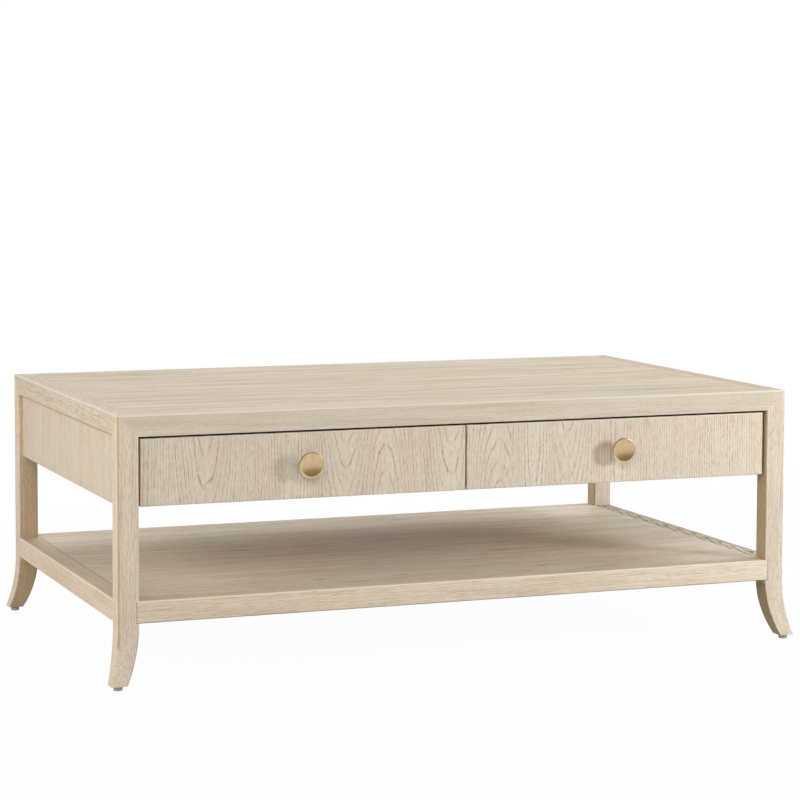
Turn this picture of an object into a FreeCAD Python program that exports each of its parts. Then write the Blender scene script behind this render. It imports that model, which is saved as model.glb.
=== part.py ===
import FreeCAD
import Part
import math
import os
from FreeCAD import Vector

# Coffee table with two drawers in the apron, an open shelf below and sabre feet.
# Millimetres. +Z is up, +Y runs to the back, and the origin lies on the floor under the middle.

# Driving sizes of the whole table
width = 1270.0
depth = 762.0
height = 463.0
member = 36.5               # leg, rail and edge strip: all cut from one square section
edge_round = 2.0            # eased outer edges
small_round = 1.2           # eased edges of the drawer faces
overrun = 5.0               # how far a cutting body passes the piece that it cuts

# Heights: the shelf is measured from the floor, the apron hangs from the rails of the top
shelf_underside = 110.0
shelf_thickness = 38.0
apron_height = 119.5        # below the rails
shelf_top = shelf_underside + shelf_thickness
rail_underside = height - member
apron_underside = rail_underside - apron_height

# Half sizes
half_width = width / 2
half_depth = depth / 2

# Sabre feet: below the shelf each leg sweeps outwards along both faces and tapers
glide_height = 8.0
glide_radius = 8.0
glide_offset = 0.5          # from the sole's middle towards the table, along both axes
glide_nail_radius = 1.25
glide_nail_length = 14.0
foot_sweep_outer = 16.0     # how far the outer faces have moved out at the sole
foot_sweep_inner = 24.5     # how far the inner faces have moved out at the sole
sweep_arc_shares = (0.0, 0.5, 1.0)

# Panels
recess = 8.0                # side panels, back panel and drawer faces lie this far behind the legs
panel_thickness = 18.0
top_field_thickness = 22.0
shelf_field_thickness = 25.0
shelf_housing = 5.0         # how deep the shelf is let into the legs

# Loose splines that hold the fields in their edge strips
spline_thickness = 4.0
spline_width = 16.0
spline_end_gap = 40.0

# Dowels, all alike
dowel_radius = 4.0
dowel_length = 30.0
dowel_into_leg = 15.0
dowel_into_panel = 12.0     # in the face of the back panel
dowel_into_top = 13.0       # in the underside of the top field
apron_dowel_shares = (0.22, 0.78)
panel_dowel_shares = (-0.36, 0.0, 0.36)
divider_dowel_shares = (0.12, 0.5, 0.88)
shelf_dowel_shares = (0.3, 0.7)     # along Y and along X, so that the two pass each other

# Blocks under the corners of the top
block_side = 60.0
block_screw_shares = (0.22, 0.56)

# Drawers
face_thickness = 20.0
face_gap_top = 4.5
face_gap_side = 5.0
face_gap_middle = 3.0
box_board = 12.7
box_above_apron = 8.0       # the box starts this far above the face's lower edge
box_top_clearance = 23.5    # from the box to the underside of the rails
box_back_clearance = 68.0   # from the box to the back panel
bottom_thickness = 6.0
bottom_height = 10.0        # above the box's lower edge
groove_depth = 6.0
groove_clearance = 0.2
tails = 3
tail_width_share = 0.68
tail_slope = 8.0            # degrees

# Telescopic ball slides, side mounted
slide_space = 12.7
slide_end_gap = 81.5        # from the slide's back end to the back of the box
slide_wall = 1.2
slide_height = 45.0
slide_centre_height = 40.0  # above the box's lower edge
channel_head_gap = 0.6      # in front of the screw heads and between the nested channels
channel_web_gap = 0.7       # from the middle channel's edges to the inner channel's web
channel_mouth_gap = 3.2     # from the outer channel's edges to the drawer side
ball_radius = 1.6
ball_clearance = 0.3
balls_per_strip = 5
ball_end_share = 0.08
retainer_thickness = 0.8
retainer_width = 4.6
retainer_length = 230.0
batten_height = 60.0

# Screws
screw_radius = 1.75
screw_length = 10.0
screw_head_radius = 3.6
screw_head_height = 1.4
slide_screw_shares = (0.07, 0.5, 0.9)
screw_stagger = 16.0        # so that screws from both faces of the divider pass each other
block_screw_radius = 2.0
block_screw_length = 28.0
block_screw_head_radius = 4.0
block_screw_head_height = 2.4
face_screw_length = 26.0
face_screw_in_from_end = 70.0
face_screw_height_shares = (0.45, 0.85)

# Knobs: a dished disc on a waisted stem
knob_radius = 22.0
knob_reach = 26.0           # from the drawer face to the front of the rim
knob_rim_width = 2.0
knob_rim_depth = 5.0        # thickness of the disc at its edge
knob_dish_depth = 3.5
knob_edge_chamfer = 1.0
knob_stem_radius = 7.0
knob_waist_radius = 5.0
knob_base_radius = 8.0
knob_base_thickness = 2.5
knob_thread_depth = 14.0
knob_screw_radius = 2.0
knob_screw_engagement = 11.0
knob_screw_clearance = 0.25
knob_rise = 3.0             # above the middle of the drawer face

# Places that follow from the sizes above
inner_x = half_width - member
inner_y = half_depth - member
panel_outer_x = half_width - recess
panel_outer_y = half_depth - recess
panel_inner_x = panel_outer_x - panel_thickness
panel_inner_y = panel_outer_y - panel_thickness
field_underside = height - top_field_thickness
face_front_y = -half_depth + recess
face_back_y = face_front_y + face_thickness
face_top = rail_underside - face_gap_top
glide_inset = (member - foot_sweep_inner - foot_sweep_outer) / 2 + glide_offset
face_outer_x = inner_x - face_gap_side
face_inner_x = face_gap_middle / 2
box_outer_x = inner_x - slide_space
box_inner_x = panel_thickness / 2 + slide_space
box_bottom = apron_underside + box_above_apron
box_top = rail_underside - box_top_clearance
box_height = box_top - box_bottom
box_back_y = panel_inner_y - box_back_clearance
slide_z = box_bottom + slide_centre_height
slide_front_y = -inner_y
slide_length = box_back_y - slide_end_gap - slide_front_y
outer_channel_depth = slide_space - channel_mouth_gap
middle_channel_start = slide_wall + screw_head_height + channel_head_gap
middle_channel_end = slide_space - slide_wall - channel_web_gap
inner_channel_start = middle_channel_start + slide_wall + channel_head_gap
knob_x = (face_outer_x + face_inner_x) / 2
knob_z = (apron_underside + face_top) / 2 + knob_rise

# The pieces of the slides that stay with the frame, and those that run between frame and drawer
fixed_names = ("slide_outer_members", "slide_carcass_screws")
running_names = (
    "slide_middle_members",
    "slide_outer_balls",
    "slide_outer_retainers",
    "slide_inner_balls",
    "slide_inner_retainers",
)


def box(x0, x1, y0, y1, z0, z1):
    """A block between two values on each axis, given in either order."""
    low = Vector(min(x0, x1), min(y0, y1), min(z0, z1))
    return Part.makeBox(abs(x1 - x0), abs(y1 - y0), abs(z1 - z0), low)


def rod(radius, start, end):
    """A round bar from one point to another."""
    run = end - start
    return Part.makeCylinder(radius, run.Length, start, run)


def prism(points, direction):
    """A closed outline of points, pushed along a direction."""
    wire = Part.makePolygon(points + points[:1])
    return Part.Face(wire).extrude(direction)


def flip_x(shape):
    """The mirror image on the other side of the table's middle, left to right."""
    return shape.mirror(Vector(0, 0, 0), Vector(1, 0, 0))


def flip_y(shape):
    """The mirror image on the other side of the table's middle, front to back."""
    return shape.mirror(Vector(0, 0, 0), Vector(0, 1, 0))


def swap_xy(shape):
    """The shape with its X and Y exchanged."""
    return shape.mirror(Vector(0, 0, 0), Vector(1, -1, 0))


def moved(shape, x, y, z):
    """A copy of the shape, moved."""
    copy = shape.copy()
    copy.translate(Vector(x, y, z))
    return copy


def eased(shape, radius, wanted):
    """The shape with the edges that the test picks rounded off."""
    edges = [edge for edge in shape.Edges if wanted(edge.BoundBox)]
    return shape.makeFillet(radius, edges)


def at_corners(shape):
    """Four copies of a piece that is built at the front left corner."""
    right = flip_x(shape)
    return {
        "front_left": shape,
        "front_right": right,
        "back_left": flip_y(shape),
        "back_right": flip_y(right),
    }


def sweep_point(start, sweep, drop):
    """A point on an arc that leaves a vertical face at the shelf's underside."""
    full_drop = shelf_underside - glide_height
    radius = (full_drop ** 2 + sweep ** 2) / (2 * sweep)
    out = radius - math.sqrt(radius ** 2 - drop ** 2)
    return Vector(start - out, 0, shelf_underside - drop)


def leg_profile():
    """The leg's outline seen along Y, its outer face on X = 0, pushed through the leg."""
    full_drop = shelf_underside - glide_height
    outer = [sweep_point(0, foot_sweep_outer, full_drop * share) for share in sweep_arc_shares]
    inner = [sweep_point(member, foot_sweep_inner, full_drop * share) for share in sweep_arc_shares]
    top_outer = Vector(0, 0, height)
    top_inner = Vector(member, 0, height)
    edges = [
        Part.LineSegment(top_outer, outer[0]).toShape(),
        Part.Arc(*outer).toShape(),
        Part.LineSegment(outer[2], inner[2]).toShape(),
        Part.Arc(inner[2], inner[1], inner[0]).toShape(),
        Part.LineSegment(inner[0], top_inner).toShape(),
        Part.LineSegment(top_inner, top_outer).toShape(),
    ]
    sheet = Part.Face(Part.Wire(edges))
    sheet.translate(Vector(0, -foot_sweep_outer - overrun, 0))
    return sheet.extrude(Vector(0, member + foot_sweep_outer + 2 * overrun, 0))


def leg_tip_cutter():
    """What a rail takes from the top of the leg: a wedge above the 45 degree mitre plane."""
    reach = member + overrun
    points = [
        Vector(-overrun, -reach, height + overrun),
        Vector(reach, -reach, height - reach),
        Vector(reach, -reach, height + overrun),
    ]
    return prism(points, Vector(0, 2 * reach, 0))


def shelf_corner_block():
    """The part of the leg's square that the shelf is let into, at the leg's inner corner."""
    start = member - shelf_housing
    reach = member + overrun
    along_x = box(start, reach, -overrun, reach, shelf_underside, shelf_top)
    along_y = box(-overrun, reach, start, reach, shelf_underside, shelf_top)
    return along_x.fuse(along_y).removeSplitter()


def leg():
    """A leg at the front left corner: square above, swept outwards along both faces below."""
    along_y = leg_profile()
    blank = along_y.common(swap_xy(along_y))
    blank = eased(blank, edge_round, lambda b: b.ZLength > shelf_underside / 2)
    wedge = leg_tip_cutter()
    blank = blank.cut(wedge).cut(swap_xy(wedge)).cut(shelf_corner_block())
    return moved(blank, -half_width, -half_depth, 0)


def mitre_cutters(length):
    """What the leg and the next rail take from both ends of a rail that lies along X."""
    reach = member + overrun
    below = prism(
        [
            Vector(-overrun, -overrun, height + overrun),
            Vector(-overrun, -overrun, height - reach),
            Vector(reach, -overrun, height - reach),
        ],
        Vector(0, reach + overrun, 0),
    )
    beside = prism(
        [
            Vector(-overrun, -overrun, height - reach),
            Vector(reach, reach, height - reach),
            Vector(-overrun, reach, height - reach),
        ],
        Vector(0, 0, reach + overrun),
    )
    near = below.fuse(beside)
    far = moved(flip_x(near), length, 0, 0)
    return near, far


def rail(length):
    """A top rail that starts at the corner and lies along X, with both ends mitred twice."""
    bar = box(0, length, 0, member, rail_underside, height)
    bar = eased(bar, edge_round, lambda b: b.YMax < member / 2 and b.ZMin > height - member / 2)
    for cutter in mitre_cutters(length):
        bar = bar.cut(cutter)
    return bar


def top_rails():
    """The four rails round the top."""
    front = moved(rail(width), -half_width, -half_depth, 0)
    left = moved(swap_xy(rail(depth)), -half_width, -half_depth, 0)
    return {
        "top_rail_front": front,
        "top_rail_back": flip_y(front),
        "top_rail_left": left,
        "top_rail_right": flip_x(left),
    }


def shelf_strips():
    """The four strips round the shelf, let into the legs, with eased outer edges."""
    notch = member - shelf_housing
    end_x = half_width - notch
    end_y = half_depth - notch
    left = box(-half_width, -inner_x, -end_y, end_y, shelf_underside, shelf_top)
    left = eased(left, edge_round, lambda b: b.YLength > depth / 2 and b.XMax < -inner_x)
    front = box(-end_x, end_x, -half_depth, -inner_y, shelf_underside, shelf_top)
    front = eased(front, edge_round, lambda b: b.XLength > width / 2 and b.YMax < -inner_y)
    front = front.cut(left).cut(flip_x(left))
    return {
        "shelf_edge_front": front,
        "shelf_edge_back": flip_y(front),
        "shelf_edge_left": left,
        "shelf_edge_right": flip_x(left),
    }


def field(top, thickness):
    """The wide panel inside four edge strips."""
    return box(-inner_x, inner_x, -inner_y, inner_y, top - thickness, top)


def splines(top, thickness):
    """The four loose splines between a field and its edge strips."""
    z0 = top - thickness / 2 - spline_thickness / 2
    z1 = z0 + spline_thickness
    long_end = inner_x - spline_end_gap
    short_end = inner_y - spline_end_gap
    half = spline_width / 2
    front = box(-long_end, long_end, -inner_y - half, -inner_y + half, z0, z1)
    left = box(-inner_x - half, -inner_x + half, -short_end, short_end, z0, z1)
    return [front, flip_y(front), left, flip_x(left)]


def side_panel():
    """The left end of the apron."""
    return box(-panel_outer_x, -panel_inner_x, -inner_y, inner_y, apron_underside, rail_underside)


def back_panel():
    """The back of the apron."""
    return box(-inner_x, inner_x, panel_inner_y, panel_outer_y, apron_underside, rail_underside)


def divider():
    """The board between the drawers, notched under the back rail."""
    half = panel_thickness / 2
    points = [
        Vector(-half, -inner_y, box_bottom),
        Vector(-half, panel_inner_y, box_bottom),
        Vector(-half, panel_inner_y, rail_underside),
        Vector(-half, inner_y, rail_underside),
        Vector(-half, inner_y, field_underside),
        Vector(-half, -inner_y, field_underside),
    ]
    return prism(points, Vector(panel_thickness, 0, 0))


def slide_batten():
    """The spacer that brings the left slide flush with the legs' inner faces."""
    z0 = slide_z - batten_height / 2
    return box(-panel_inner_x, -inner_x, -inner_y, inner_y, z0, z0 + batten_height)


def corner_block():
    """The glued block under the front left corner of the top."""
    points = [
        Vector(-inner_x, -inner_y, rail_underside),
        Vector(-inner_x + block_side, -inner_y, rail_underside),
        Vector(-inner_x, -inner_y + block_side, rail_underside),
    ]
    return prism(points, Vector(0, 0, field_underside - rail_underside))


def screw(radius, length, head_radius, head_height, seat, direction):
    """A pan head screw whose head sits on the seat and whose shank runs along the direction."""
    shank = rod(radius, seat, seat + direction * length)
    head = rod(head_radius, seat - direction * head_height, seat)
    return shank.fuse(head).removeSplitter()


def block_screws():
    """The screws that go up through the corner blocks into the top field."""
    near, far = (block_side * share for share in block_screw_shares)
    up = Vector(0, 0, 1)
    pieces = []
    for x, y in ((near, far), (far, near)):
        seat = Vector(-inner_x + x, -inner_y + y, rail_underside)
        one = screw(
            block_screw_radius,
            block_screw_length,
            block_screw_head_radius,
            block_screw_head_height,
            seat,
            up,
        )
        pieces += at_corners(one).values()
    return pieces


def dowel(centre, direction, into_first):
    """A dowel along a direction, with its given depth before the joint's face at the centre."""
    start = centre - direction * into_first
    return rod(dowel_radius, start, start + direction * dowel_length)


def dowels():
    """Every dowel of the frame, as separate solids."""
    along_x = Vector(1, 0, 0)
    along_y = Vector(0, 1, 0)
    up = Vector(0, 0, 1)
    side_x = -panel_outer_x + panel_thickness / 2
    back_y = panel_outer_y - panel_thickness / 2
    low_z, high_z = (shelf_underside + shelf_thickness * share for share in shelf_dowel_shares)
    strip_mid_x = -half_width + member / 2
    strip_mid_y = -half_depth + member / 2
    notch = member - shelf_housing
    at_corner = []
    for share in apron_dowel_shares:
        z = apron_underside + (rail_underside - apron_underside) * share
        at_corner.append(dowel(Vector(side_x, -inner_y, z), along_y, dowel_into_leg))
    at_corner.append(dowel(Vector(strip_mid_x, -half_depth + notch, low_z), along_y, dowel_into_leg))
    at_corner.append(dowel(Vector(-half_width + notch, strip_mid_y, high_z), along_x, dowel_into_leg))
    pieces = []
    for one in at_corner:
        pieces += at_corners(one).values()
    for share in apron_dowel_shares:
        z = apron_underside + (rail_underside - apron_underside) * share
        one = dowel(Vector(-inner_x, back_y, z), along_x, dowel_into_leg)
        pieces += [one, flip_x(one)]
    for share in panel_dowel_shares:
        one = dowel(Vector(side_x, 2 * inner_y * share, rail_underside), up, dowel_into_leg)
        pieces += [one, flip_x(one)]
        pieces.append(dowel(Vector(2 * inner_x * share, back_y, rail_underside), up, dowel_into_leg))
    for share in apron_dowel_shares:
        z = box_bottom + (rail_underside - box_bottom) * share
        reach = dowel_length - dowel_into_panel
        pieces.append(dowel(Vector(0, panel_inner_y, z), along_y, reach))
    for share in divider_dowel_shares:
        place = Vector(0, -inner_y + 2 * inner_y * share, field_underside)
        pieces.append(dowel(place, up, dowel_length - dowel_into_top))
    return pieces


def glide_nail():
    """The nail of the glide under the front left foot."""
    place = Vector(-half_width + glide_inset, -half_depth + glide_inset, glide_height)
    return Part.makeCylinder(glide_nail_radius, glide_nail_length, place)


def foot_glide():
    """A nailed glide under the front left foot."""
    place = Vector(-half_width + glide_inset, -half_depth + glide_inset, 0)
    pad = Part.makeCylinder(glide_radius, glide_height, place)
    pad = eased(pad, small_round, lambda b: b.ZMax < glide_height / 2)
    return pad.fuse(glide_nail()).removeSplitter()


def channel(start, end, half_height, web_first):
    """A channel section as long as the slide: its web is on the start side or the end side."""
    body = box(start, end, 0, slide_length, -half_height, half_height)
    inner_half = half_height - slide_wall
    x0 = start + slide_wall if web_first else start - overrun
    x1 = end + overrun if web_first else end - slide_wall
    return body.cut(box(x0, x1, -overrun, slide_length + overrun, -inner_half, inner_half))


def ball_track(outer_half):
    """Height of the ball centres above the slide's middle, inside a channel's flange."""
    return outer_half - slide_wall - ball_clearance - ball_radius


def nested_half(outer_half):
    """Half height of the channel that runs on the balls inside another channel."""
    return ball_track(outer_half) - ball_radius - ball_clearance


def ball_places():
    """Where the balls stand along a retainer."""
    first = retainer_length * ball_end_share
    step = (retainer_length - 2 * first) / (balls_per_strip - 1)
    return [first + step * count for count in range(balls_per_strip)]


def ball_row(x, outer_half):
    """The balls above and below one channel, and the two strips that hold them."""
    start = (slide_length - retainer_length) / 2
    height_of_track = ball_track(outer_half)
    balls = []
    strips = []
    for side in (-1, 1):
        z = side * height_of_track
        row = [Part.makeSphere(ball_radius, Vector(x, start + y, z)) for y in ball_places()]
        strip = box(
            x - retainer_width / 2,
            x + retainer_width / 2,
            start,
            start + retainer_length,
            z - retainer_thickness / 2,
            z + retainer_thickness / 2,
        )
        for ball in row:
            strip = strip.cut(ball)
        balls += row
        strips.append(strip)
    return balls, strips


def slide_screws(x, direction, stagger):
    """The screws of one slide member, with their heads inside the member."""
    pieces = []
    for share in slide_screw_shares:
        seat = Vector(x, slide_length * share + stagger, 0)
        pieces.append(
            screw(screw_radius, screw_length, screw_head_radius, screw_head_height, seat, direction)
        )
    return pieces


def slide(stagger):
    """One telescopic slide: its carcass face on X = 0, its drawer face on X = slide_space."""
    outer_half = slide_height / 2
    middle_half = nested_half(outer_half)
    inner_half = nested_half(middle_half)
    outer_ball_x = (middle_channel_start + outer_channel_depth) / 2
    inner_ball_x = (inner_channel_start + middle_channel_end) / 2
    outer_balls, outer_strips = ball_row(outer_ball_x, outer_half)
    inner_balls, inner_strips = ball_row(inner_ball_x, middle_half)
    to_carcass = Vector(-1, 0, 0)
    to_drawer = Vector(1, 0, 0)
    carcass_screws = slide_screws(slide_wall, to_carcass, stagger)
    drawer_screws = slide_screws(slide_space - slide_wall, to_drawer, stagger)
    outer = channel(0, outer_channel_depth, outer_half, True)
    inner = channel(inner_channel_start, slide_space, inner_half, False)
    for one in carcass_screws:
        outer = outer.cut(one)
    for one in drawer_screws:
        inner = inner.cut(one)
    return {
        "slide_outer_members": [outer],
        "slide_middle_members": [channel(middle_channel_start, middle_channel_end, middle_half, True)],
        "slide_inner_members": [inner],
        "slide_outer_balls": outer_balls,
        "slide_outer_retainers": outer_strips,
        "slide_inner_balls": inner_balls,
        "slide_inner_retainers": inner_strips,
        "slide_carcass_screws": carcass_screws,
        "slide_drawer_screws": drawer_screws,
    }


def slide_pair(stagger):
    """The two slides of the left drawer."""
    one = slide(stagger)
    pair = {}
    for name, solids in one.items():
        left = [moved(solid, -inner_x, slide_front_y, slide_z) for solid in solids]
        right = [moved(flip_x(solid), -panel_thickness / 2, slide_front_y, slide_z) for solid in solids]
        pair[name] = left + right
    return pair


def dovetails(x0, x1, end_y, inward):
    """The tails at one end of a drawer side, widest at the end of the board."""
    pitch = box_height / tails
    half_end = pitch * tail_width_share / 2
    half_root = half_end - box_board * math.tan(math.radians(tail_slope))
    root_y = end_y + inward * box_board
    pieces = []
    for count in range(tails):
        z = box_bottom + pitch * (count + 1 / 2)
        points = [
            Vector(x0, end_y, z - half_end),
            Vector(x0, end_y, z + half_end),
            Vector(x0, root_y, z + half_root),
            Vector(x0, root_y, z - half_root),
        ]
        pieces.append(prism(points, Vector(x1 - x0, 0, 0)))
    return pieces


def drawer_side(x0, x1):
    """A drawer side between two values of X, with tails at both ends."""
    side = box(x0, x1, face_back_y + box_board, box_back_y - box_board, box_bottom, box_top)
    tails_of_side = dovetails(x0, x1, face_back_y, 1) + dovetails(x0, x1, box_back_y, -1)
    return side.fuse(tails_of_side).removeSplitter()


def drawer_box():
    """The left drawer's box: two sides, a front board, a back board and a bottom in grooves."""
    left = drawer_side(-box_outer_x, -box_outer_x + box_board)
    right = drawer_side(-box_inner_x - box_board, -box_inner_x)
    front = box(-box_outer_x, -box_inner_x, face_back_y, face_back_y + box_board, box_bottom, box_top)
    back = box(-box_outer_x, -box_inner_x, box_back_y - box_board, box_back_y, box_bottom, box_top)
    boards = {"box_front": front, "box_back": back}
    for name in boards:
        boards[name] = boards[name].cut(left).cut(right)
    boards["side_left"] = left
    boards["side_right"] = right
    into = box_board - groove_depth
    x0 = -box_outer_x + into
    x1 = -box_inner_x - into
    y0 = face_back_y + into
    y1 = box_back_y - into
    z0 = box_bottom + bottom_height
    z1 = z0 + bottom_thickness
    play = groove_clearance
    groove = box(x0, x1, y0, y1, z0 - play, z1 + play)
    boards = {name: board.cut(groove) for name, board in boards.items()}
    boards["bottom"] = box(x0 + play, x1 - play, y0 + play, y1 - play, z0, z1)
    return boards


def drawer_face():
    """The left drawer's face, with its four front edges eased."""
    face = box(-face_outer_x, -face_inner_x, face_front_y, face_back_y, apron_underside, face_top)
    front_limit = face_front_y + face_thickness / 2
    return eased(face, small_round, lambda b: b.YMax < front_limit)


def knob_outline():
    """Half the knob's section, the radius along X and the height above the face along Y."""
    rim_inner = knob_radius - knob_rim_width
    disc_back = knob_reach - knob_rim_depth
    dish_bottom = knob_reach - knob_dish_depth
    dish_radius = (rim_inner ** 2 + knob_dish_depth ** 2) / (2 * knob_dish_depth)
    half_way = rim_inner / 2
    dish_rise = dish_radius - math.sqrt(dish_radius ** 2 - half_way ** 2)
    bore = knob_screw_radius + knob_screw_clearance
    stem = [
        Vector(0, knob_thread_depth, 0),
        Vector(bore, knob_thread_depth, 0),
        Vector(bore, 0, 0),
        Vector(knob_base_radius, 0, 0),
        Vector(knob_base_radius, knob_base_thickness, 0),
        Vector(knob_stem_radius, knob_base_thickness, 0),
    ]
    waist = Vector(knob_waist_radius, (knob_base_thickness + disc_back) / 2, 0)
    disc = [
        Vector(knob_stem_radius, disc_back, 0),
        Vector(knob_radius - knob_edge_chamfer, disc_back, 0),
        Vector(knob_radius, disc_back + knob_edge_chamfer, 0),
        Vector(knob_radius, knob_reach - knob_edge_chamfer, 0),
        Vector(knob_radius - knob_edge_chamfer, knob_reach, 0),
        Vector(rim_inner, knob_reach, 0),
    ]
    dish_middle = Vector(half_way, dish_bottom + dish_rise, 0)
    dish_centre = Vector(0, dish_bottom, 0)
    edges = [Part.LineSegment(a, b).toShape() for a, b in zip(stem, stem[1:])]
    edges.append(Part.Arc(stem[-1], waist, disc[0]).toShape())
    edges += [Part.LineSegment(a, b).toShape() for a, b in zip(disc, disc[1:])]
    edges.append(Part.Arc(disc[-1], dish_middle, dish_centre).toShape())
    edges.append(Part.LineSegment(dish_centre, stem[0]).toShape())
    return Part.Wire(edges)


def knob():
    """The left drawer's knob, turned round an axis along Y: dished disc, waisted stem, base."""
    turned = Part.Face(knob_outline()).revolve(Vector(0, 0, 0), Vector(0, 1, 0), 360)
    return moved(flip_y(turned), -knob_x, face_front_y, knob_z)


def knob_screw():
    """The machine screw that holds the left knob, put in from inside the drawer."""
    seat = Vector(-knob_x, face_back_y + box_board, knob_z)
    length = box_board + face_thickness + knob_screw_engagement
    toward_front = Vector(0, -1, 0)
    return screw(
        knob_screw_radius,
        length,
        block_screw_head_radius,
        block_screw_head_height,
        seat,
        toward_front,
    )


def face_screws():
    """The screws that hold the face on the left drawer's box."""
    pieces = []
    toward_front = Vector(0, -1, 0)
    for x in (-box_outer_x + face_screw_in_from_end, -box_inner_x - face_screw_in_from_end):
        for share in face_screw_height_shares:
            seat = Vector(x, face_back_y + box_board, box_bottom + box_height * share)
            pieces.append(
                screw(
                    block_screw_radius,
                    face_screw_length,
                    block_screw_head_radius,
                    block_screw_head_height,
                    seat,
                    toward_front,
                )
            )
    return pieces


def left_drawer(pair):
    """Every piece that moves with the left drawer, by its short name."""
    pieces = {name: [board] for name, board in drawer_box().items()}
    pieces["face"] = [drawer_face()]
    pieces["knob"] = [knob()]
    pieces["knob_screw"] = [knob_screw()]
    pieces["face_screws"] = face_screws()
    clear_radius = knob_screw_radius + knob_screw_clearance
    clear_start = Vector(-knob_x, face_front_y - overrun, knob_z)
    clear_end = Vector(-knob_x, face_back_y + box_board + overrun, knob_z)
    clear_hole = rod(clear_radius, clear_start, clear_end)
    for name in ("face", "box_front"):
        board = cut_all(pieces[name][0], pieces["face_screws"])
        pieces[name] = [board.cut(clear_hole)]
    for name in ("side_left", "side_right"):
        pieces[name] = [cut_all(pieces[name][0], pair["slide_drawer_screws"])]
    pieces["slide_inner_members"] = pair["slide_inner_members"]
    pieces["slide_screws"] = pair["slide_drawer_screws"]
    return pieces


def cut_all(shape, cutters):
    """The shape less every cutter whose box meets it."""
    near = [one for one in cutters if one.BoundBox.intersect(shape.BoundBox)]
    return shape.cut(near) if near else shape


def frame_pieces(carcass_screws):
    """Every fixed piece of the table, by node name."""
    nodes = {"leg_" + place: [one] for place, one in at_corners(leg()).items()}
    nodes.update({name: [one] for name, one in top_rails().items()})
    nodes.update({name: [one] for name, one in shelf_strips().items()})
    nodes["top_field"] = [field(height, top_field_thickness)]
    nodes["shelf_field"] = [field(shelf_top, shelf_field_thickness)]
    panel = side_panel()
    nodes["side_panel_left"] = [panel]
    nodes["side_panel_right"] = [flip_x(panel)]
    nodes["back_panel"] = [back_panel()]
    nodes["centre_divider"] = [divider()]
    batten = slide_batten()
    nodes["slide_batten_left"] = [batten]
    nodes["slide_batten_right"] = [flip_x(batten)]
    nodes["corner_blocks"] = list(at_corners(corner_block()).values())
    let_in = {
        "top_splines": splines(height, top_field_thickness),
        "shelf_splines": splines(shelf_top, shelf_field_thickness),
        "dowels": dowels(),
        "block_screws": block_screws(),
    }
    nails = list(at_corners(glide_nail()).values())
    cutters = sum(let_in.values(), []) + carcass_screws + nails
    for name, solids in nodes.items():
        nodes[name] = [cut_all(solid, cutters) for solid in solids]
    nodes.update(let_in)
    nodes["foot_glides"] = list(at_corners(foot_glide()).values())
    return nodes


def write(nodes):
    """One STEP file for each node; a node of several pieces holds them as separate solids."""
    os.makedirs("parts", exist_ok=True)
    for name, solids in nodes.items():
        shape = solids[0] if len(solids) == 1 else Part.makeCompound(solids)
        shape.exportStep(os.path.join("parts", name + ".step"))
        print(name, len(solids), shape.isValid(), round(shape.Volume))


def drawer_nodes(pair):
    """Every piece that moves with the left drawer or its slides, by its short name."""
    pieces = left_drawer(pair)
    for name in running_names:
        pieces[name] = pair[name]
    return pieces


def flip_all(pieces):
    """Named lists of solids, all mirrored to the other end of the table."""
    return {name: [flip_x(one) for one in solids] for name, solids in pieces.items()}


def main():
    left_pair = slide_pair(0)
    right_pair = slide_pair(screw_stagger)
    fixed = {name: left_pair[name] + flip_all(right_pair)[name] for name in fixed_names}
    nodes = frame_pieces(fixed["slide_carcass_screws"])
    nodes.update(fixed)
    for side, pieces in (
        ("left", drawer_nodes(left_pair)),
        ("right", flip_all(drawer_nodes(right_pair))),
    ):
        for name, solids in pieces.items():
            nodes["drawer_" + side + "_" + name] = solids
    write(nodes)


main()
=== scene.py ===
import math

import bpy
from mathutils import Matrix, Vector


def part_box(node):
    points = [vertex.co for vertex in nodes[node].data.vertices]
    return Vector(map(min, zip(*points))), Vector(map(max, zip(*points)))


# The looks of a pale oak coffee table: two drawers in the apron, brass knobs, an open shelf.
# Metres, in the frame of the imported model. The figure of the wood is worked out in millimetres.

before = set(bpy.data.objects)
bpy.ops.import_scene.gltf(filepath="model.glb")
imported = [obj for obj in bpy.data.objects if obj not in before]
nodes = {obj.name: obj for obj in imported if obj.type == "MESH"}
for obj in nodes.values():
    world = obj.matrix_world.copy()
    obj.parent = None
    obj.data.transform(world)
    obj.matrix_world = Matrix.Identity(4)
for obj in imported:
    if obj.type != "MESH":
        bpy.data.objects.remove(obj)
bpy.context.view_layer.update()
mm = 1000.0

# The table's sides and ends, with their signs along X and Y
sides = {"left": -1, "right": 1}
ends = {"front": -1, "back": 1}

# The camera: yaw is measured from +Y towards +X, pitch downwards, both in degrees as is roll
camera_place = Vector((-1.753331, -4.521282, 0.950856))
camera_yaw = 21.414
camera_pitch = 4.366
camera_roll = 0.211
camera_lens = 115.764
camera_sensor = 36.0
camera_shift = -0.10

# Places that the figure of the wood and its worn edges are measured from
top_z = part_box("top_rail_back")[1].z
half_width = -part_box("top_rail_left")[0].x
half_depth = -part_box("top_rail_front")[0].y
member = top_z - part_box("top_rail_front")[0].z
inner_x = half_width - member
shelf_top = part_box("shelf_field")[1].z
shelf_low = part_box("shelf_edge_front")[0].z

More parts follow.
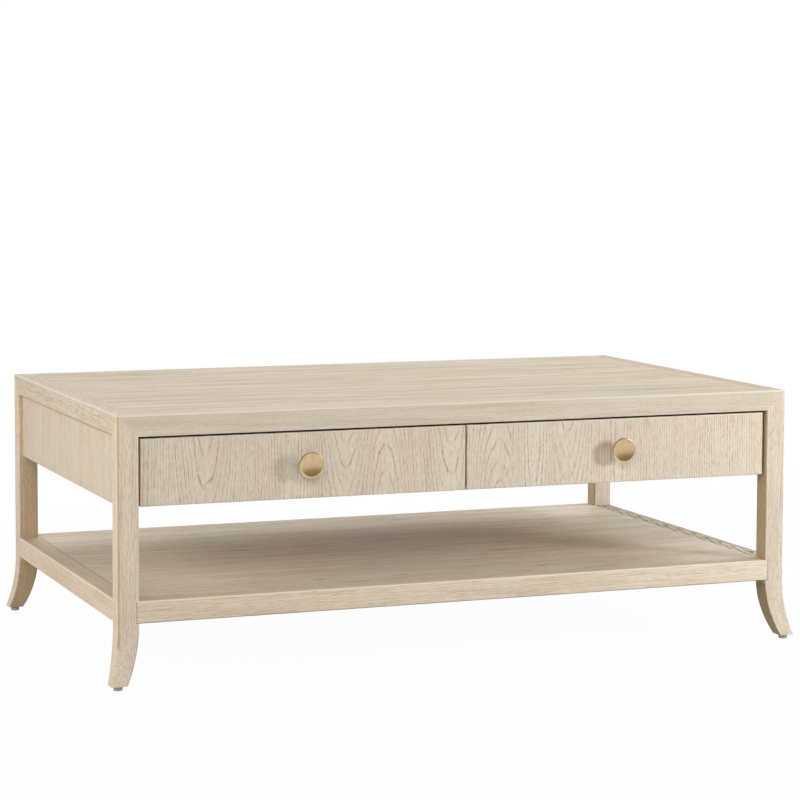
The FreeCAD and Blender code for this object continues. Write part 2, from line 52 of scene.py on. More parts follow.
# The soft boxes: place, width and height, watts and tint; they all look at one point
lamp_target = Vector((0.0, -0.1, 0.30))
cool, plain, warm = (0.94, 0.99, 1.05), (1.0, 1.0, 1.0), (1.0, 0.98, 0.94)
soft_boxes = {
    "key": ((1.80, -1.70, 0.82), 0.50, 0.45, 26.5, cool),
    "right": ((1.95, -0.20, 1.35), 0.9, 0.7, 19.0, cool),
    "front": ((-1.00, -2.72, 1.88), 3.0, 1.0, 39.5, (1.02, 1.0, 1.02)),
    "left": ((-2.80, -0.40, 1.24), 2.0, 1.5, 40.5, warm),
    "back": ((0.35, 2.12, 2.34), 2.6, 1.6, 44.0, plain),
    "back_low": ((0.30, 3.20, 0.75), 3.0, 0.6, 34.0, plain),
}
mirrored_boxes = ("right", "back")

# The world: what gloss mirrors is white near the horizon and dimmer overhead, as in a studio; the
# dimmer part, in degrees above the horizon, comes lower down on the camera's side
world_level = 0.05
ceiling_colour = (0.37, 0.29, 0.17, 1.0)
ceiling_start, ceiling_end = 7.0, 20.0
ceiling_slope = 0.20
white = (1.0, 1.0, 1.0, 1.0)

# The floor: from the table's near surroundings outwards the camera sees it as ever more nearly white
floor_reach = 30.0
floor_near, floor_far = 1.2, 3.2
floor_glow = 0.97
floor_pale, floor_grey = (0.90, 0.90, 0.90), (0.88, 0.88, 0.88)

# Colours as a screen shows them, red, green and blue from 0 to 1
oak_light = (0.849, 0.806, 0.735)
oak_mid = (0.847, 0.794, 0.717)
oak_line = (0.720, 0.622, 0.498)
oak_pore = (0.545, 0.385, 0.165)
# Painted shade: the colour that darkens the drawer faces' upper and left edges, where the gaps lie in shadow
oak_shadow = (0.420, 0.200, 0.080)
oak_amber = (0.700, 0.590, 0.460)
# Painted highlight: the pale colour along the upper arrises
oak_edge_highlight = (0.930, 0.890, 0.820)
# Painted shade: the shadow line under the side rails, and along the shelf strips' lower arrises
oak_under_shade = (0.520, 0.420, 0.320)
rail_pink = (0.800, 0.725, 0.645)
strip_yellow, strip_yellow_mid = (0.905, 0.850, 0.765), (0.900, 0.838, 0.745)
strip_pink, strip_pink_mid = (0.880, 0.810, 0.735), (0.870, 0.800, 0.720)
strip_pore = (0.32, 0.20, 0.12)
face_pore = (0.540, 0.345, 0.115)
# The third brass colour is a painted highlight on the knobs' lower rims
brass_light, brass_dark, brass_rim_highlight = (0.845, 0.745, 0.585), (0.81, 0.705, 0.545), (0.97, 0.85, 0.66)
nylon_light, nylon_dark = (0.72, 0.71, 0.69), (0.66, 0.65, 0.63)
ply_light, ply_dark, ply_line = (0.81, 0.68, 0.50), (0.77, 0.63, 0.44), (0.70, 0.57, 0.42)
inner_wood = ((0.86, 0.79, 0.67), (0.80, 0.72, 0.58))
drawer_wood = ((0.90, 0.82, 0.69), (0.85, 0.76, 0.61))
beech_wood = ((0.86, 0.74, 0.58), (0.80, 0.67, 0.50))
zinc_grey, ball_grey = (0.78, 0.78, 0.77), (0.80, 0.80, 0.80)

# Painted shade: the colours that the legs' inward faces are multiplied by, and the feet's once more
inner_tints = {"front": (0.910, 0.877, 0.807), "back": (0.968, 0.937, 0.868)}
foot_tints = {"front": (0.800, 0.780, 0.730), "back": (0.920, 0.895, 0.850)}

# Painted light: how much lighter each leg's oak is made than the other oak, for the light that falls on it
leg_light_levels = {
    ("left", "front"): 1.06,
    ("left", "back"): 1.05,
    ("right", "front"): 1.02,
    ("right", "back"): 1.13,
}

# The finish of the oak: its roughness, how much ticks and fibres add, and the depth of its pores
oak_rough, grain_rough = 0.47, 0.10
pore_depth = 0.0002

# The sizes of the wood's noises: along the grain, and across it
bend_across = 60.0
wander_size = (70.0, 18.0)
ripple_size = (22.0, 7.0)
fibre_size = (90.0, 2.0)
row_across, tick_across = 1.2, 0.9
streak_length, warm_length = 380.0, 260.0

# Where in a ring its line is darkest, as a share of the ring; how much of a line is left in its gaps
# and turns; and between which values of their noise the dashes and the ticks fade in
ring_rise = 0.12
line_rest = 0.2
dash_fade = (0.36, 0.54)
tick_fade = (0.55, 0.72)

# How much the places where a leaf's lines turn over wander and ripple, and how near the lines fade
turn_wander, turn_ripple = 14.0, 6.0
turn_core = 2.0

# How far off a rail lies the heart of its log, and how far over the shelf strip's top that strip's
rail_heart = 260.0
strip_heart = 3.0

# How far strips along arrises reach, such as the painted highlights, and how far back a face's gap edges
# stay free of painted shade
arris_reach = 3.0
face_lip = 5.0

# The painted highlight on a knob's lower rim: how far inwards from the edge it starts and is full,
# and the heights from the knob's axis where it is full and where it ends
rim_start, rim_full = 2.6, 1.8
rim_low, rim_high = -14.0, -4.0

# The width of the rings that the lathe left on the knobs, and of the brass's faint clouds
lathe_ring = 0.12
brass_cloud = 9.0

# The deeper painted shade on a foot's inner side: how far under the shelf it starts and is full
foot_start, foot_full = 2.0, 8.0

# The hearts of each drawer face's veneer: across and up, and how fast a lens closes
drawer_leaves = {
    "left": ((-605, 900, 0.03), (-478, 720, 0.10), (-330, 900, 0.03), (-226, 720, 0.11),
             (-152, 40, 0.11), (-28, 720, 0.10)),
    "right": ((66, 40, 0.12), (130, 900, 0.03), (196, 720, 0.11), (300, 900, 0.03)),
}

# The hearts of the sheets of veneer on the top and on the shelf: across and along, and the same
field_leaves = ((-330, -500, 0.05), (-290, 420, 0.06), (-105, -150, 0.04), (60, 380, 0.06),
                (95, -560, 0.05), (265, 120, 0.04), (340, -350, 0.05))

# How a board is cut and finished, in millimetres and shares, unless its own values say otherwise
usual_board = {
    "turned": False,          # whether the two directions across the grain change places
    "leaves": (),             # the hearts of a sheet of veneer, or none for solid wood
    "depth": 16.0,            # how deep the leaves' hearts lie
    "turn": 0.0,              # how far the lines fade where a leaf turns over, or nought for no fading
    "heart": (90.0, 160.0),   # where the heart of the log lies, for solid wood
    "taper": 0.02,            # how fast the rings widen along the grain, for solid wood
    "bend": 9.0,              # how far the rings stray over a long way
    "bend_length": 320.0,
    "wander": 5.0,            # how far they stray over a shorter way
    "ripple": 1.6,            # and over a short one
    "spacing": 6.0,           # from ring to ring
    "width": 0.32,            # the share of a ring that its line takes up
    "uneven": 0.7,            # how much fainter the faintest line is
    "dash": 11.0,             # the length of the dashes that a line is made of
    "tick": 11.0,             # the length of the pores between the lines
    "streak_width": 30.0,
    "streaks": 0.12,          # how strongly the streaks show, the fibres, the lines and the ticks
    "fibre": 0.18,
    "lines": 1.0,
    "ticks": 0.25,
    "light": oak_light,       # the wood's two ground colours, and those of its streaks and pores
    "mid": oak_mid,
    "line": oak_line,
    "pore": oak_pore,
    "strips": (),             # strips along its edges: dark seams, painted highlights and painted shade
    "inward": None,           # the signs along X and Y of its inward faces, if these get painted shade
    "inner_tint": inner_tints["front"],
    "foot_tint": foot_tints["front"],
}
rail_cut = {"dash": 30.0, "lines": 0.22, "spacing": 3.4, "wander": 1.2, "ripple": 0.5, "bend": 3.0,
            "bend_length": 700.0, "fibre": 0.28, "ticks": 0.16, "tick": 7.0, "streak_width": 14.0,
            "streaks": 0.18}
top_cut = {"streaks": 0.55, "streak_width": 20.0, "dash": 25.0, "lines": 0.5, "fibre": 0.60,
           "spacing": 7.0}
shelf_cut = {**top_cut, "streaks": 0.30, "lines": 0.85, "uneven": 0.9, "light": (0.898, 0.880, 0.818),
             "mid": (0.884, 0.850, 0.778), "line": (0.745, 0.680, 0.590)}
face_cut = {"depth": 5.0, "turn": 9.0, "width": 0.26, "dash": 7.0, "spacing": 4.8, "ripple": 0.8,
            "wander": 3.0, "pore": face_pore}
leg_cut = {"spacing": 3.2, "dash": 20.0, "lines": 0.55, "ticks": 0.30, "tick": 11.0}


def linear(colour):
    """The linear colour of one that is written as it looks."""
    return [c / 12.92 if c <= 0.04045 else ((c + 0.055) / 1.055) ** 2.4 for c in colour] + [1.0]


def paler(colour, factor):
    """A colour made lighter or darker."""
    return [c * factor for c in colour]


class Field:
    """A number that a material's nodes work out; arithmetic on it adds nodes."""

    def __init__(self, paint, socket):
        self.paint = paint
        self.socket = socket

    def __add__(self, other):
        return self.paint.math("ADD", self, other)

    def __sub__(self, other):
        return self.paint.math("SUBTRACT", self, other)

    def __mul__(self, other):
        return self.paint.math("MULTIPLY", self, other)

    def __truediv__(self, other):
        return self.paint.math("DIVIDE", self, other)

    def inverse(self):
        """One less the field."""
        return self.paint.math("SUBTRACT", 1.0, self)

    def size(self):
        """The field without its sign."""
        return self.paint.math("ABSOLUTE", self)


class Paint:
    """A material's node tree, with short calls for the nodes that the materials share."""

    def __init__(self, name):
        self.material = bpy.data.materials.new(name)
        self.material.use_nodes = True
        self.tree = self.material.node_tree
        self.shader = self.tree.nodes["Principled BSDF"]
        self.output = self.tree.nodes["Material Output"]

    @classmethod
    def over(cls, tree):
        """The same short calls for another node tree, such as the world's."""
        paint = cls.__new__(cls)
        paint.tree = tree
        return paint

    def feed(self, socket, value):
        """Links a field to a socket, or sets a plain value on it."""
        if isinstance(value, Field):
            self.tree.links.new(value.socket, socket)
        else:
            socket.default_value = value

    def node(self, kind, *values, **settings):
        """A new node with its first inputs fed and its settings set."""
        node = self.tree.nodes.new("ShaderNode" + kind)
        for key, value in settings.items():
            setattr(node, key, value)
        for socket, value in zip(node.inputs, values):
            if value is not None:
                self.feed(socket, value)
        return node

    def math(self, operation, *values):
        """One step of arithmetic."""
        return Field(self, self.node("Math", *values, operation=operation).outputs[0])

    def read(self, kind, output):
        """An output of a new node that takes no inputs, such as a texture coordinate or a light path."""
        return Field(self, self.node(kind).outputs[output])

    def split(self, vector):
        """The three parts of a vector."""
        node = self.node("SeparateXYZ", vector)
        return [Field(self, node.outputs[i]) for i in range(3)]

    def axes(self):
        """The place on the piece at rest, as three fields in millimetres."""
        return [part * mm for part in self.split(self.read("TexCoord", "Object"))]

    def noise(self, x, y, z, detail=2.0):
        """Smooth noise from about 0 to 1."""
        node = self.node("TexNoise")
        self.feed(node.inputs["Vector"], Field(self, self.node("CombineXYZ", x, y, z).outputs[0]))
        self.feed(node.inputs["Scale"], 1.0)
        self.feed(node.inputs["Detail"], detail)
        self.feed(node.inputs["Roughness"], 0.5)
        return Field(self, node.outputs[0])

    def chance(self, value):
        """A random number from 0 to 1 for each whole value."""
        node = self.node("TexWhiteNoise", noise_dimensions="1D")
        self.feed(node.inputs["W"], value)
        return Field(self, node.outputs[0])

    def ramp(self, value, start, end, low=0.0, high=1.0):
        """A smooth step from low to high as the value goes from start to end."""
        node = self.node("MapRange", value, start, end, low, high, interpolation_type="SMOOTHSTEP")
        return Field(self, node.outputs[0])

    def mix(self, factor, first, second, blend="MIX"):
        """A colour between two colours."""
        node = self.node("Mix", data_type="RGBA", blend_type=blend)
        self.feed(node.inputs[0], factor)
        self.feed(node.inputs[6], first)
        self.feed(node.inputs[7], second)
        return Field(self, node.outputs[2])

    def blend(self, share, first, second):
        """A mix of two colours that are written as they look."""
        return self.mix(share, linear(first), linear(second))

    def set(self, **values):
        """Sets the shader's sockets by name, with underscores for the spaces."""
        for key, value in values.items():
            self.feed(self.shader.inputs[key.replace("_", " ")], value)

    def bump(self, height, distance, strength):
        """A fine relief on the surface; the distance is in metres."""
        node = self.node("Bump")
        self.feed(node.inputs["Height"], height)
        self.feed(node.inputs["Distance"], distance)
        self.feed(node.inputs["Strength"], strength)
        self.feed(self.shader.inputs["Normal"], Field(self, node.outputs[0]))


class Grain:
    """The places in a board along its grain, across it and into it, as fields in millimetres."""

    def __init__(self, paint, board):
        self.paint = paint
        self.place = dict(zip("XYZ", paint.axes()))
        self.along = self.place[board["grain"]]
        crossing = [self.place[axis] for axis in "XYZ" if axis != board["grain"]]
        self.across, self.deep = reversed(crossing) if board["turned"] else crossing

    def noise(self, length, width, seed, detail=2.0):
        """Smooth noise that is drawn out along the grain."""
        return self.paint.noise(self.along / length, self.across / width, self.deep / width + seed, detail)


def leaf_distance(board, grain):
    """How far the wood at a point lies from the nearest heart of the veneer's leaves."""
    paint = grain.paint
    nearest = None
    for heart_across, heart_along, lean in board["leaves"]:
        side = grain.across - heart_across
        rise = (grain.along - heart_along) * lean
        one = paint.math("SQRT", side * side + rise * rise + board["depth"] ** 2)
        nearest = one if nearest is None else paint.math("MINIMUM", nearest, one)
    return nearest


def heart_distance(board, grain):
    """How far the wood at a point lies from the heart of the log that a solid board came from."""
    heart_across, heart_deep = board["heart"]
    side = grain.across - heart_across
    rise = grain.deep - heart_deep
    return grain.paint.math("SQRT", side * side + rise * rise) + grain.along * board["taper"]


def away_from_turns(paint, board, across):
    """Nought where the lines of a leaf turn over, and one a little way to either side."""
    share = None
    for heart_across, _, _ in board["leaves"]:
        one = paint.ramp((across - heart_across).size(), turn_core, board["turn"])
        share = one if share is None else share * one
    return share


def growth_lines(board, grain):
    """The growth rings, bent by slow and fast noise: one on their early wood and nought between.

    Some rings are strong and some are faint. The pores lie in rows along the early wood, so that a
    line is a row of short dashes.
    """
    paint, seed = grain.paint, board["seed"]
    slow = grain.noise(board["bend_length"], bend_across, seed, detail=1.0) - 0.5
    mid = grain.noise(*wander_size, seed, detail=1.0) - 0.5
    fast = grain.noise(*ripple_size, seed, detail=1.0) - 0.5
    distance = leaf_distance(board, grain) if board["leaves"] else heart_distance(board, grain)
    bent = distance + slow * board["bend"] + mid * board["wander"] + fast * board["ripple"]
    phase = bent / board["spacing"]
    ring = paint.math("FRACT", phase)
    chance = paint.chance(paint.math("FLOOR", phase) + seed)
    line = paint.ramp(ring, 0.0, ring_rise) * paint.ramp(ring, ring_rise, board["width"], 1.0, 0.0)
    dash = paint.ramp(grain.noise(board["dash"], row_across, seed, detail=0.0), *dash_fade)
    strength = chance * board["uneven"] + (1.0 - board["uneven"])
    mark = line * strength * (dash * (1.0 - line_rest) + line_rest)
    if board["turn"]:
        away = away_from_turns(paint, board, grain.across + mid * turn_wander + fast * turn_ripple)
        mark = mark * (away * (1.0 - line_rest) + line_rest)
    return mark


def near_planes(grain, planes):
    """One where a point lies near all the given planes, and nought from their reaches on."""
    least = None
    for axis, value, reach in planes:
        away = (grain.place[axis] - value * mm).size()
        near = grain.paint.ramp(away, reach * 0.5, reach, 1.0, 0.0)
        least = near if least is None else grain.paint.math("MINIMUM", least, near)
    return least


def wood_colour(board, grain, mark, stray, fibre):
    """The colour of the wood, from broad streaks to pores, with seams, painted highlights and painted shade
    along its edges.
    """
    paint, seed, wide = grain.paint, board["seed"], board["streak_width"]
    broad = grain.noise(streak_length, wide, seed)
    warmth = grain.noise(warm_length, wide * 2.0, -seed, detail=1.0)
    layers = (
        (paint.ramp(broad, 0.40, 0.66) * board["streaks"], "line"),
        (paint.ramp(fibre, 0.40, 0.75) * board["fibre"], "line"),
        (stray * board["ticks"], "pore"),
        (mark * board["lines"], "pore"),
    )
    wood = paint.blend(paint.ramp(warmth, 0.35, 0.65), board["light"], board["mid"])
    for share, colour in layers:
        wood = paint.mix(share, wood, linear(board[colour]))
    for planes, colour, share in board["strips"]:
        wood = paint.mix(near_planes(grain, planes) * share, wood, linear(colour))
    return wood


def paint_inner_shade(board, grain, wood):
    """The wood with painted shade on its inward faces, and deeper painted shade on them below the shelf."""
    paint = grain.paint
    facing = paint.split(paint.read("TexCoord", "Normal"))
    along_x, along_y = (facing[i] * board["inward"][i] for i in range(2))
    inner = paint.ramp(paint.math("MAXIMUM", along_x, along_y), 0.2, 0.6)
    # Painted shade on the inward faces, deeper on the feet below the shelf
    wood = paint.mix(inner, wood, linear(board["inner_tint"]), "MULTIPLY")
    under = shelf_low * mm
    low = paint.ramp(grain.place["Z"], under - foot_full, under - foot_start, 1.0, 0.0)
    return paint.mix(inner * low, wood, linear(board["foot_tint"]), "MULTIPLY")


def oak(name, board):
    """Bleached oak with the grain along one axis; the board says how it was cut and finished."""
    paint = Paint(name)
    grain = Grain(paint, board)
    mark = growth_lines(board, grain)
    stray = paint.ramp(grain.noise(board["tick"], tick_across, -board["seed"], detail=0.0), *tick_fade)
    fibre = grain.noise(*fibre_size, board["seed"])
    wood = wood_colour(board, grain, mark, stray, fibre)
    if board["inward"]:
        wood = paint_inner_shade(board, grain, wood)
    paint.set(Base_Color=wood, IOR=1.45, Specular_IOR_Level=0.22)
    paint.set(Roughness=stray * grain_rough + fibre * grain_rough + oak_rough)
    paint.bump(mark + stray * 0.6, -pore_depth, 0.3)
    return paint.material


def plain_wood(name, grain, light, dark, seed):
    """Unstained wood for the hidden pieces."""
    changes = {"light": light, "mid": dark, "line": paler(dark, 0.86), "pore": paler(dark, 0.72)}
    return oak(name, {**usual_board, "grain": grain, "seed": seed, "lines": 0.4, "ticks": 0.2, **changes})


def brass():
    """Satin brass, turned on a lathe: fine rings round each knob's axis."""
    paint = Paint("brass")
    x, y, z = paint.axes()
    low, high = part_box("drawer_left_knob")
    centre = (low + high) / 2 * mm
    edge = (high.x - low.x) / 2 * mm
    side = x.size() - abs(centre.x)
    rise = z - centre.z
    radius = paint.math("SQRT", side * side + rise * rise)
    turned = paint.noise(radius / lathe_ring, 0.0, 0.0)
    cloud = paint.noise(x / brass_cloud, y / brass_cloud, z / brass_cloud)
    colour = paint.blend(paint.ramp(cloud, 0.3, 0.7), brass_light, brass_dark)
    # Painted highlight: the lower rim is paler
    rim_glint = paint.ramp(radius, edge - rim_start, edge - rim_full)
    rim_glint = rim_glint * paint.ramp(rise, rim_low, rim_high, 1.0, 0.0)
    paint.set(Base_Color=paint.mix(rim_glint, colour, linear(brass_rim_highlight)), Metallic=1.0, Anisotropic=0.4)
    paint.set(Roughness=turned * 0.10 + cloud * 0.06 + 0.26)
    paint.bump(turned, 0.00002, 0.4)
    return paint.material


def steel(name, colour, roughness):
    """Zinc plated or polished steel with a faint drawn grain along Y."""
    paint = Paint(name)
    x, y, z = paint.axes()
    across, along = 0.5, 60.0
    drawn = paint.noise(x / across, y / along, z / across)
    tint = paint.blend(paint.ramp(drawn, 0.3, 0.7), colour, paler(colour, 0.9))
    paint.set(Base_Color=tint, Metallic=1.0, Roughness=drawn * 0.12 + roughness)
    return paint.material


def nylon():
    """Grey moulded nylon of the glides."""
    paint = Paint("glide_grey")
    x, y, z = paint.axes()
    grain = paint.noise(x / 0.8, y / 0.8, z / 0.8)
    paint.set(Base_Color=paint.blend(grain, nylon_light, nylon_dark), Roughness=grain * 0.1 + 0.5)
    paint.bump(grain, 0.0001, 0.2)
    return paint.material


def plywood():
    """Lacquered birch plywood with its grain along X."""
    paint = Paint("plywood")
    x, y, z = paint.axes()
    fibre = paint.noise(x / 60.0, y / 1.6, z / 3.0)
    cloud = paint.noise(x / 160.0, y / 50.0, z / 50.0)
    wood = paint.blend(paint.ramp(cloud, 0.3, 0.7), ply_light, ply_dark)
    wood = paint.mix(paint.ramp(fibre, 0.45, 0.75) * 0.3, wood, linear(ply_line))
    paint.set(Base_Color=wood, Roughness=fibre * 0.1 + 0.42)
    paint.bump(fibre, 0.0001, 0.2)
    return paint.material


# An arris strip is a painted highlight unless another colour is given
def arris(first, second, colour=oak_edge_highlight, share=0.85, reach=arris_reach):
    """A strip of another colour along the edge where two planes meet."""
    return ((first + (reach,), second + (reach,)), colour, share)


def band(axis, value, reach, colour, share):
    """A strip of another colour along one plane."""
    return (((axis, value, reach),), colour, share)


def seam(axis, value, width=1.1, share=0.75):
    """A thin dark line where a piece ends against its neighbour."""
    return band(axis, value, width, oak_pore, share)


def dress(node, material):
    """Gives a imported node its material."""
    slots = nodes[node].data.materials
    slots.clear()
    slots.append(material)


def dress_oak(name, grain, seed, **changes):
    """Dresses a node in oak of its own; no two pieces share a seed, so that no figure comes twice."""
    dress(name, oak(name + "_oak", {**usual_board, "grain": grain, "seed": seed, **changes}))


def dress_rail(name, grain, seed, strips, level=1.0, **changes):
    """A solid rail or strip with fine long lines and short pores; its rings cut all four faces alike."""
    middle = sum(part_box(name), Vector()) / 2 * mm
    heart = [v + rail_heart for axis, v in zip("XYZ", middle) if axis != grain]
    # Painted light: level makes the whole piece lighter or darker, for the light that falls on it
    values = {"light": paler(oak_light, level), "mid": paler(oak_mid, level), "heart": heart, **changes}
    dress_oak(name, grain, seed, **{**rail_cut, **values, "strips": strips})


def dress_top():
    """The four rails of the top, with a painted highlight along their upper arrises, and the field between
    them.
    """
    for number, (end, sign) in enumerate(ends.items()):
        dress_rail("top_rail_" + end, "X", 21.0 + number, [arris(("Y", sign * half_depth), ("Z", top_z))])
    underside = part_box("top_rail_left")[0].z
    # On the left rail, a painted highlight along the upper outer arris, and painted shade along the lower
    # one over the side panel
    left = [arris(("X", -half_width), ("Z", top_z)),
            arris(("X", -half_width), ("Z", underside), oak_amber, share=0.8, reach=2.2)]
    dress_rail("top_rail_left", "Y", 31.0, left, lines=0.55, wander=1.8, ripple=0.6, ticks=0.38, tick=18.0)
    # On the right rail, painted highlights along both upper arrises, the inner one at the joint with the
    # field
    right = [arris(("X", half_width), ("Z", top_z)), arris(("X", inner_x), ("Z", top_z), share=0.6)]
    dress_rail("top_rail_right", "Y", 32.0, right, lines=0.8, wander=5.0, light=rail_pink, mid=rail_pink)
    strips = [seam("X", -inner_x, width=1.5, share=0.25)]
    dress_oak("top_field", "X", 41.0, leaves=field_leaves, strips=strips,
              light=paler(oak_light, 1.04), mid=paler(oak_mid, 1.04), **top_cut)


def dress_shelf():
    """The four edge strips of the shelf and the field between them."""
    seams = [seam("X", corner.x, width=1.6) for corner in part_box("shelf_edge_front")]
    for number, (end, sign) in enumerate(ends.items()):
        outer_y = sign * half_depth
        # A painted highlight along each strip's upper outer arris, and painted shade along its lower one
        strips = [arris(("Y", outer_y), ("Z", shelf_top)),
                  arris(("Y", outer_y), ("Z", shelf_low), oak_under_shade, share=0.8, reach=2.0)]
        dress_rail("shelf_edge_" + end, "X", 23.0 + number, strips + seams, light=strip_yellow,
                   mid=strip_yellow_mid, lines=0.42, ticks=0.24, tick=16.0)
    left = [arris(("X", -half_width), ("Z", shelf_top)), seam("X", -inner_x)]
    dress_rail("shelf_edge_left", "Y", 33.0, left, lines=0.3, wander=3.0, light=strip_pink,
               mid=strip_pink_mid)
    dress_right_strip()
    dress_oak("shelf_field", "X", 42.0, leaves=field_leaves[::-1], strips=[seam("X", -inner_x)], **shelf_cut)


def dress_right_strip():
    """The shelf's right strip: its heart lies just above it, so its lines run slantwise both ways."""
    # A painted highlight along the strip's upper outer arris
    strips = [band("X", half_width, 2.0, oak_mid, 0.65), arris(("X", half_width), ("Z", shelf_top))]
    heart = ((half_width - member * 0.45) * mm, shelf_top * mm + strip_heart)
    dress_rail("shelf_edge_right", "Y", 34.0, strips, heart=heart, taper=0.21, lines=1.0, width=0.9,
               dash=40.0, uneven=0.2, spacing=12.0, wander=12.0, ripple=5.0, pore=strip_pore)


def dress_legs():
    """The legs: fine upright grain, a painted highlight beside the openings, and painted shade on the inner
    faces.
    """
    number = 0
    for side, x_sign in sides.items():
        for end, y_sign in ends.items():
            outer_y = ("Y", y_sign * half_depth)
            strips = [arris(("X", x_sign * inner_x), outer_y, share=0.6)]
            if (side, end) == ("left", "front"):
                strips.append(arris(("X", x_sign * half_width), outer_y, oak_amber, share=0.75))
            inward = (0, -1) if (side, end) == ("left", "back") else (-x_sign, 0)
            dress_rail("leg_" + end + "_" + side, "Z", 11.0 + number, strips, level=leg_light_levels[side, end],
                       inward=inward, inner_tint=inner_tints[end], foot_tint=foot_tints[end], **leg_cut)
            number += 1


def dress_panels():
    """The side panels, with a painted shadow line under their rails, and the back panel."""
    for number, side in enumerate(sides):
        name = "side_panel_" + side
        low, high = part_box(name)
        # A painted shadow line at the panel's top, under the rail, and a darker line along its bottom edge
        strips = [band("Z", high.z, 5.4, oak_under_shade, 0.95), band("Z", low.z, 2.0, oak_line, 0.5)]
        dress_oak(name, "Z", 35.0 + number, turned=True, lines=0.25, dash=30.0, strips=strips)
    dress_oak("back_panel", "Z", 43.0)


def dress_faces():
    """The drawer faces: upright veneer, with painted shade on the upper and the left edge in the gaps."""
    for number, side in enumerate(sides):
        name = "drawer_" + side + "_face"
        low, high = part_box(name)
        # Painted gap shade on the face's upper and left edges, from face_lip behind its front to its back
        gap_shade_depth = ("Y", high.y, (high.y - low.y) * mm - face_lip)
        strips = [((edge, gap_shade_depth), oak_shadow, 1.0) for edge in (("Z", high.z, 0.8), ("X", low.x, 0.8))]
        # A painted highlight along the upper front arris, and painted shade along the lower one
        strips.append(arris(("Y", low.y), ("Z", high.z), reach=2.2))
        strips.append(arris(("Y", low.y), ("Z", low.z), oak_line, share=0.6, reach=1.8))
        dress_oak(name, "Z", 37.0 + number, leaves=drawer_leaves[side], strips=strips,
                  light=paler(oak_light, 1.03), mid=paler(oak_mid, 1.03), **face_cut)


def dress_hidden(zinc):
    """The frame's inner pieces and fittings."""
    dressed = {
        plain_wood("inner_wood_upright", "Z", *inner_wood, 51.0): ("corner_blocks",),
        plain_wood("inner_wood_long", "Y", *inner_wood, 52.0):
            ("centre_divider", "slide_batten_left", "slide_batten_right"),
        plain_wood("beech_pins", "X", *beech_wood, 55.0): ("top_splines", "shelf_splines", "dowels"),
        zinc: ("block_screws", "slide_outer_members", "slide_carcass_screws"),
        nylon(): ("foot_glides",),
    }
    for material, names in dressed.items():
        for name in names:
            dress(name, material)


def dress_drawers(zinc):
    """The drawer boxes, the knobs, and the slides' moving members and balls."""
    dressed = {
        plain_wood("drawer_wood_cross", "X", *drawer_wood, 53.0): ("box_front", "box_back"),
        plain_wood("drawer_wood_long", "Y", *drawer_wood, 54.0): ("side_left", "side_right"),
        plywood(): ("bottom",),
        brass(): ("knob",),
        steel("ball_steel", ball_grey, 0.10): ("slide_outer_balls", "slide_inner_balls"),
        zinc: ("knob_screw", "face_screws", "slide_screws", "slide_inner_members",
               "slide_middle_members", "slide_outer_retainers", "slide_inner_retainers"),
    }
    for material, parts in dressed.items():
        for part in parts:
            for side in sides:
                dress("drawer_" + side + "_" + part, material)


def make_camera():
    """The camera at the photograph's place."""
    yaw, pitch, roll = (math.radians(v) for v in (camera_yaw, camera_pitch, camera_roll))
    right = Vector((math.cos(yaw), -math.sin(yaw), 0.0))
    ahead = Vector((math.sin(yaw) * math.cos(pitch), math.cos(yaw) * math.cos(pitch), -math.sin(pitch)))
    up = right.cross(ahead)
    across = right * math.cos(roll) + up * math.sin(roll)
    upward = up * math.cos(roll) - right * math.sin(roll)
    data = bpy.data.cameras.new("camera")
    data.lens = camera_lens
    data.sensor_width = camera_sensor
    data.shift_y = camera_shift
    camera = bpy.data.objects.new("camera", data)
    turn = Matrix((across, upward, -ahead)).transposed().to_4x4()
    camera.matrix_world = Matrix.Translation(camera_place) @ turn
    bpy.context.scene.collection.objects.link(camera)
    bpy.context.scene.camera = camera


def make_lights():
    """The soft boxes round the table."""
    for name, (place, width, height, power, colour) in soft_boxes.items():
        data = bpy.data.lights.new(name, "AREA")
        data.shape = "RECTANGLE"
        data.size = width
        data.size_y = height
        data.energy = power
        data.color = colour
        light = bpy.data.objects.new(name, data)
        light.visible_glossy = name in mirrored_boxes
        light.location = place
        light.rotation_mode = "QUATERNION"
        light.rotation_quaternion = (lamp_target - Vector(place)).to_track_quat("-Z", "Y")
        bpy.context.scene.collection.objects.link(light)


def seen_directly(paint):
    """One for what the camera sees, by itself or in gloss or glass."""
    camera = paint.read("LightPath", "Is Camera Ray")
    mirrored = paint.math("MAXIMUM", paint.read("LightPath", "Is Glossy Ray"),
                          paint.read("LightPath", "Is Transmission Ray"))
    return paint.math("MAXIMUM", camera, mirrored)


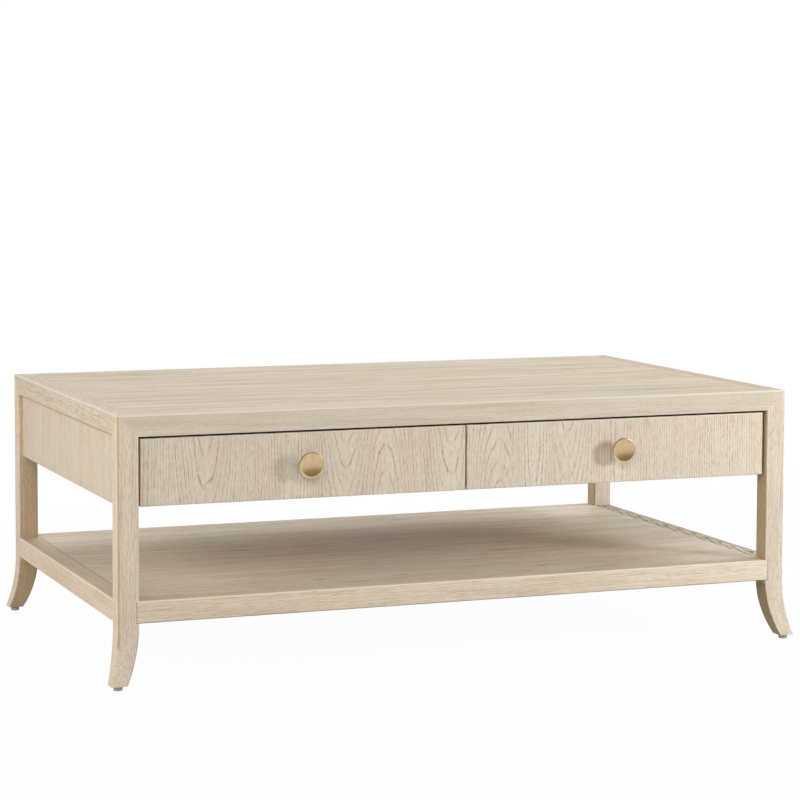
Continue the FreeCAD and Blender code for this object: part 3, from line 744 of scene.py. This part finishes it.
def make_world():
    """A faint even light; the camera sees it as white, and so does gloss up to the warm dim ceiling."""
    world = bpy.data.worlds.new("studio")
    world.use_nodes = True
    paint = Paint.over(world.node_tree)
    x, y, z = paint.split(paint.read("TexCoord", "Generated"))
    start, end = (math.sin(math.radians(v)) for v in (ceiling_start, ceiling_end))
    overhead = paint.ramp(z - y * ceiling_slope, start, end)
    dim = overhead * paint.read("LightPath", "Is Camera Ray").inverse()
    background = world.node_tree.nodes["Background"]
    paint.feed(background.inputs["Color"], paint.mix(dim, white, ceiling_colour))
    paint.feed(background.inputs["Strength"], paint.math("MAXIMUM", seen_directly(paint), world_level))
    bpy.context.scene.world = world


def floor_material():
    """Matt and pale, and all but white where the camera sees it."""
    paint = Paint("floor")
    x, y, z = paint.axes()
    cloud = paint.noise(x / 900.0, y / 900.0, 0.0)
    paint.set(Base_Color=paint.blend(cloud, floor_pale, floor_grey), Roughness=0.8)
    glow = paint.node("Emission", white, 1.0)
    radius = paint.math("SQRT", x * x + y * y) / mm
    share = seen_directly(paint) * paint.ramp(radius, floor_near, floor_far, floor_glow, 1.0)
    blend = paint.node("MixShader", share)
    paint.tree.links.new(paint.shader.outputs[0], blend.inputs[1])
    paint.tree.links.new(glow.outputs[0], blend.inputs[2])
    paint.tree.links.new(blend.outputs[0], paint.output.inputs["Surface"])
    return paint.material


def make_floor():
    """A pale floor that the camera sees as white, with the table's soft shadow on it."""
    mesh = bpy.data.meshes.new("floor")
    corners = [(x * floor_reach, y * floor_reach, 0.0) for x, y in ((-1, -1), (1, -1), (1, 1), (-1, 1))]
    mesh.from_pydata(corners, [], [(0, 1, 2, 3)])
    mesh.materials.append(floor_material())
    floor = bpy.data.objects.new("floor", mesh)
    bpy.context.scene.collection.objects.link(floor)


make_camera()
make_lights()
make_world()
make_floor()
dress_top()
dress_shelf()
dress_legs()
dress_panels()
dress_faces()
zinc_steel = steel("zinc_steel", zinc_grey, 0.28)
dress_hidden(zinc_steel)
dress_drawers(zinc_steel)
bpy.context.scene.view_settings.view_transform = "Standard"
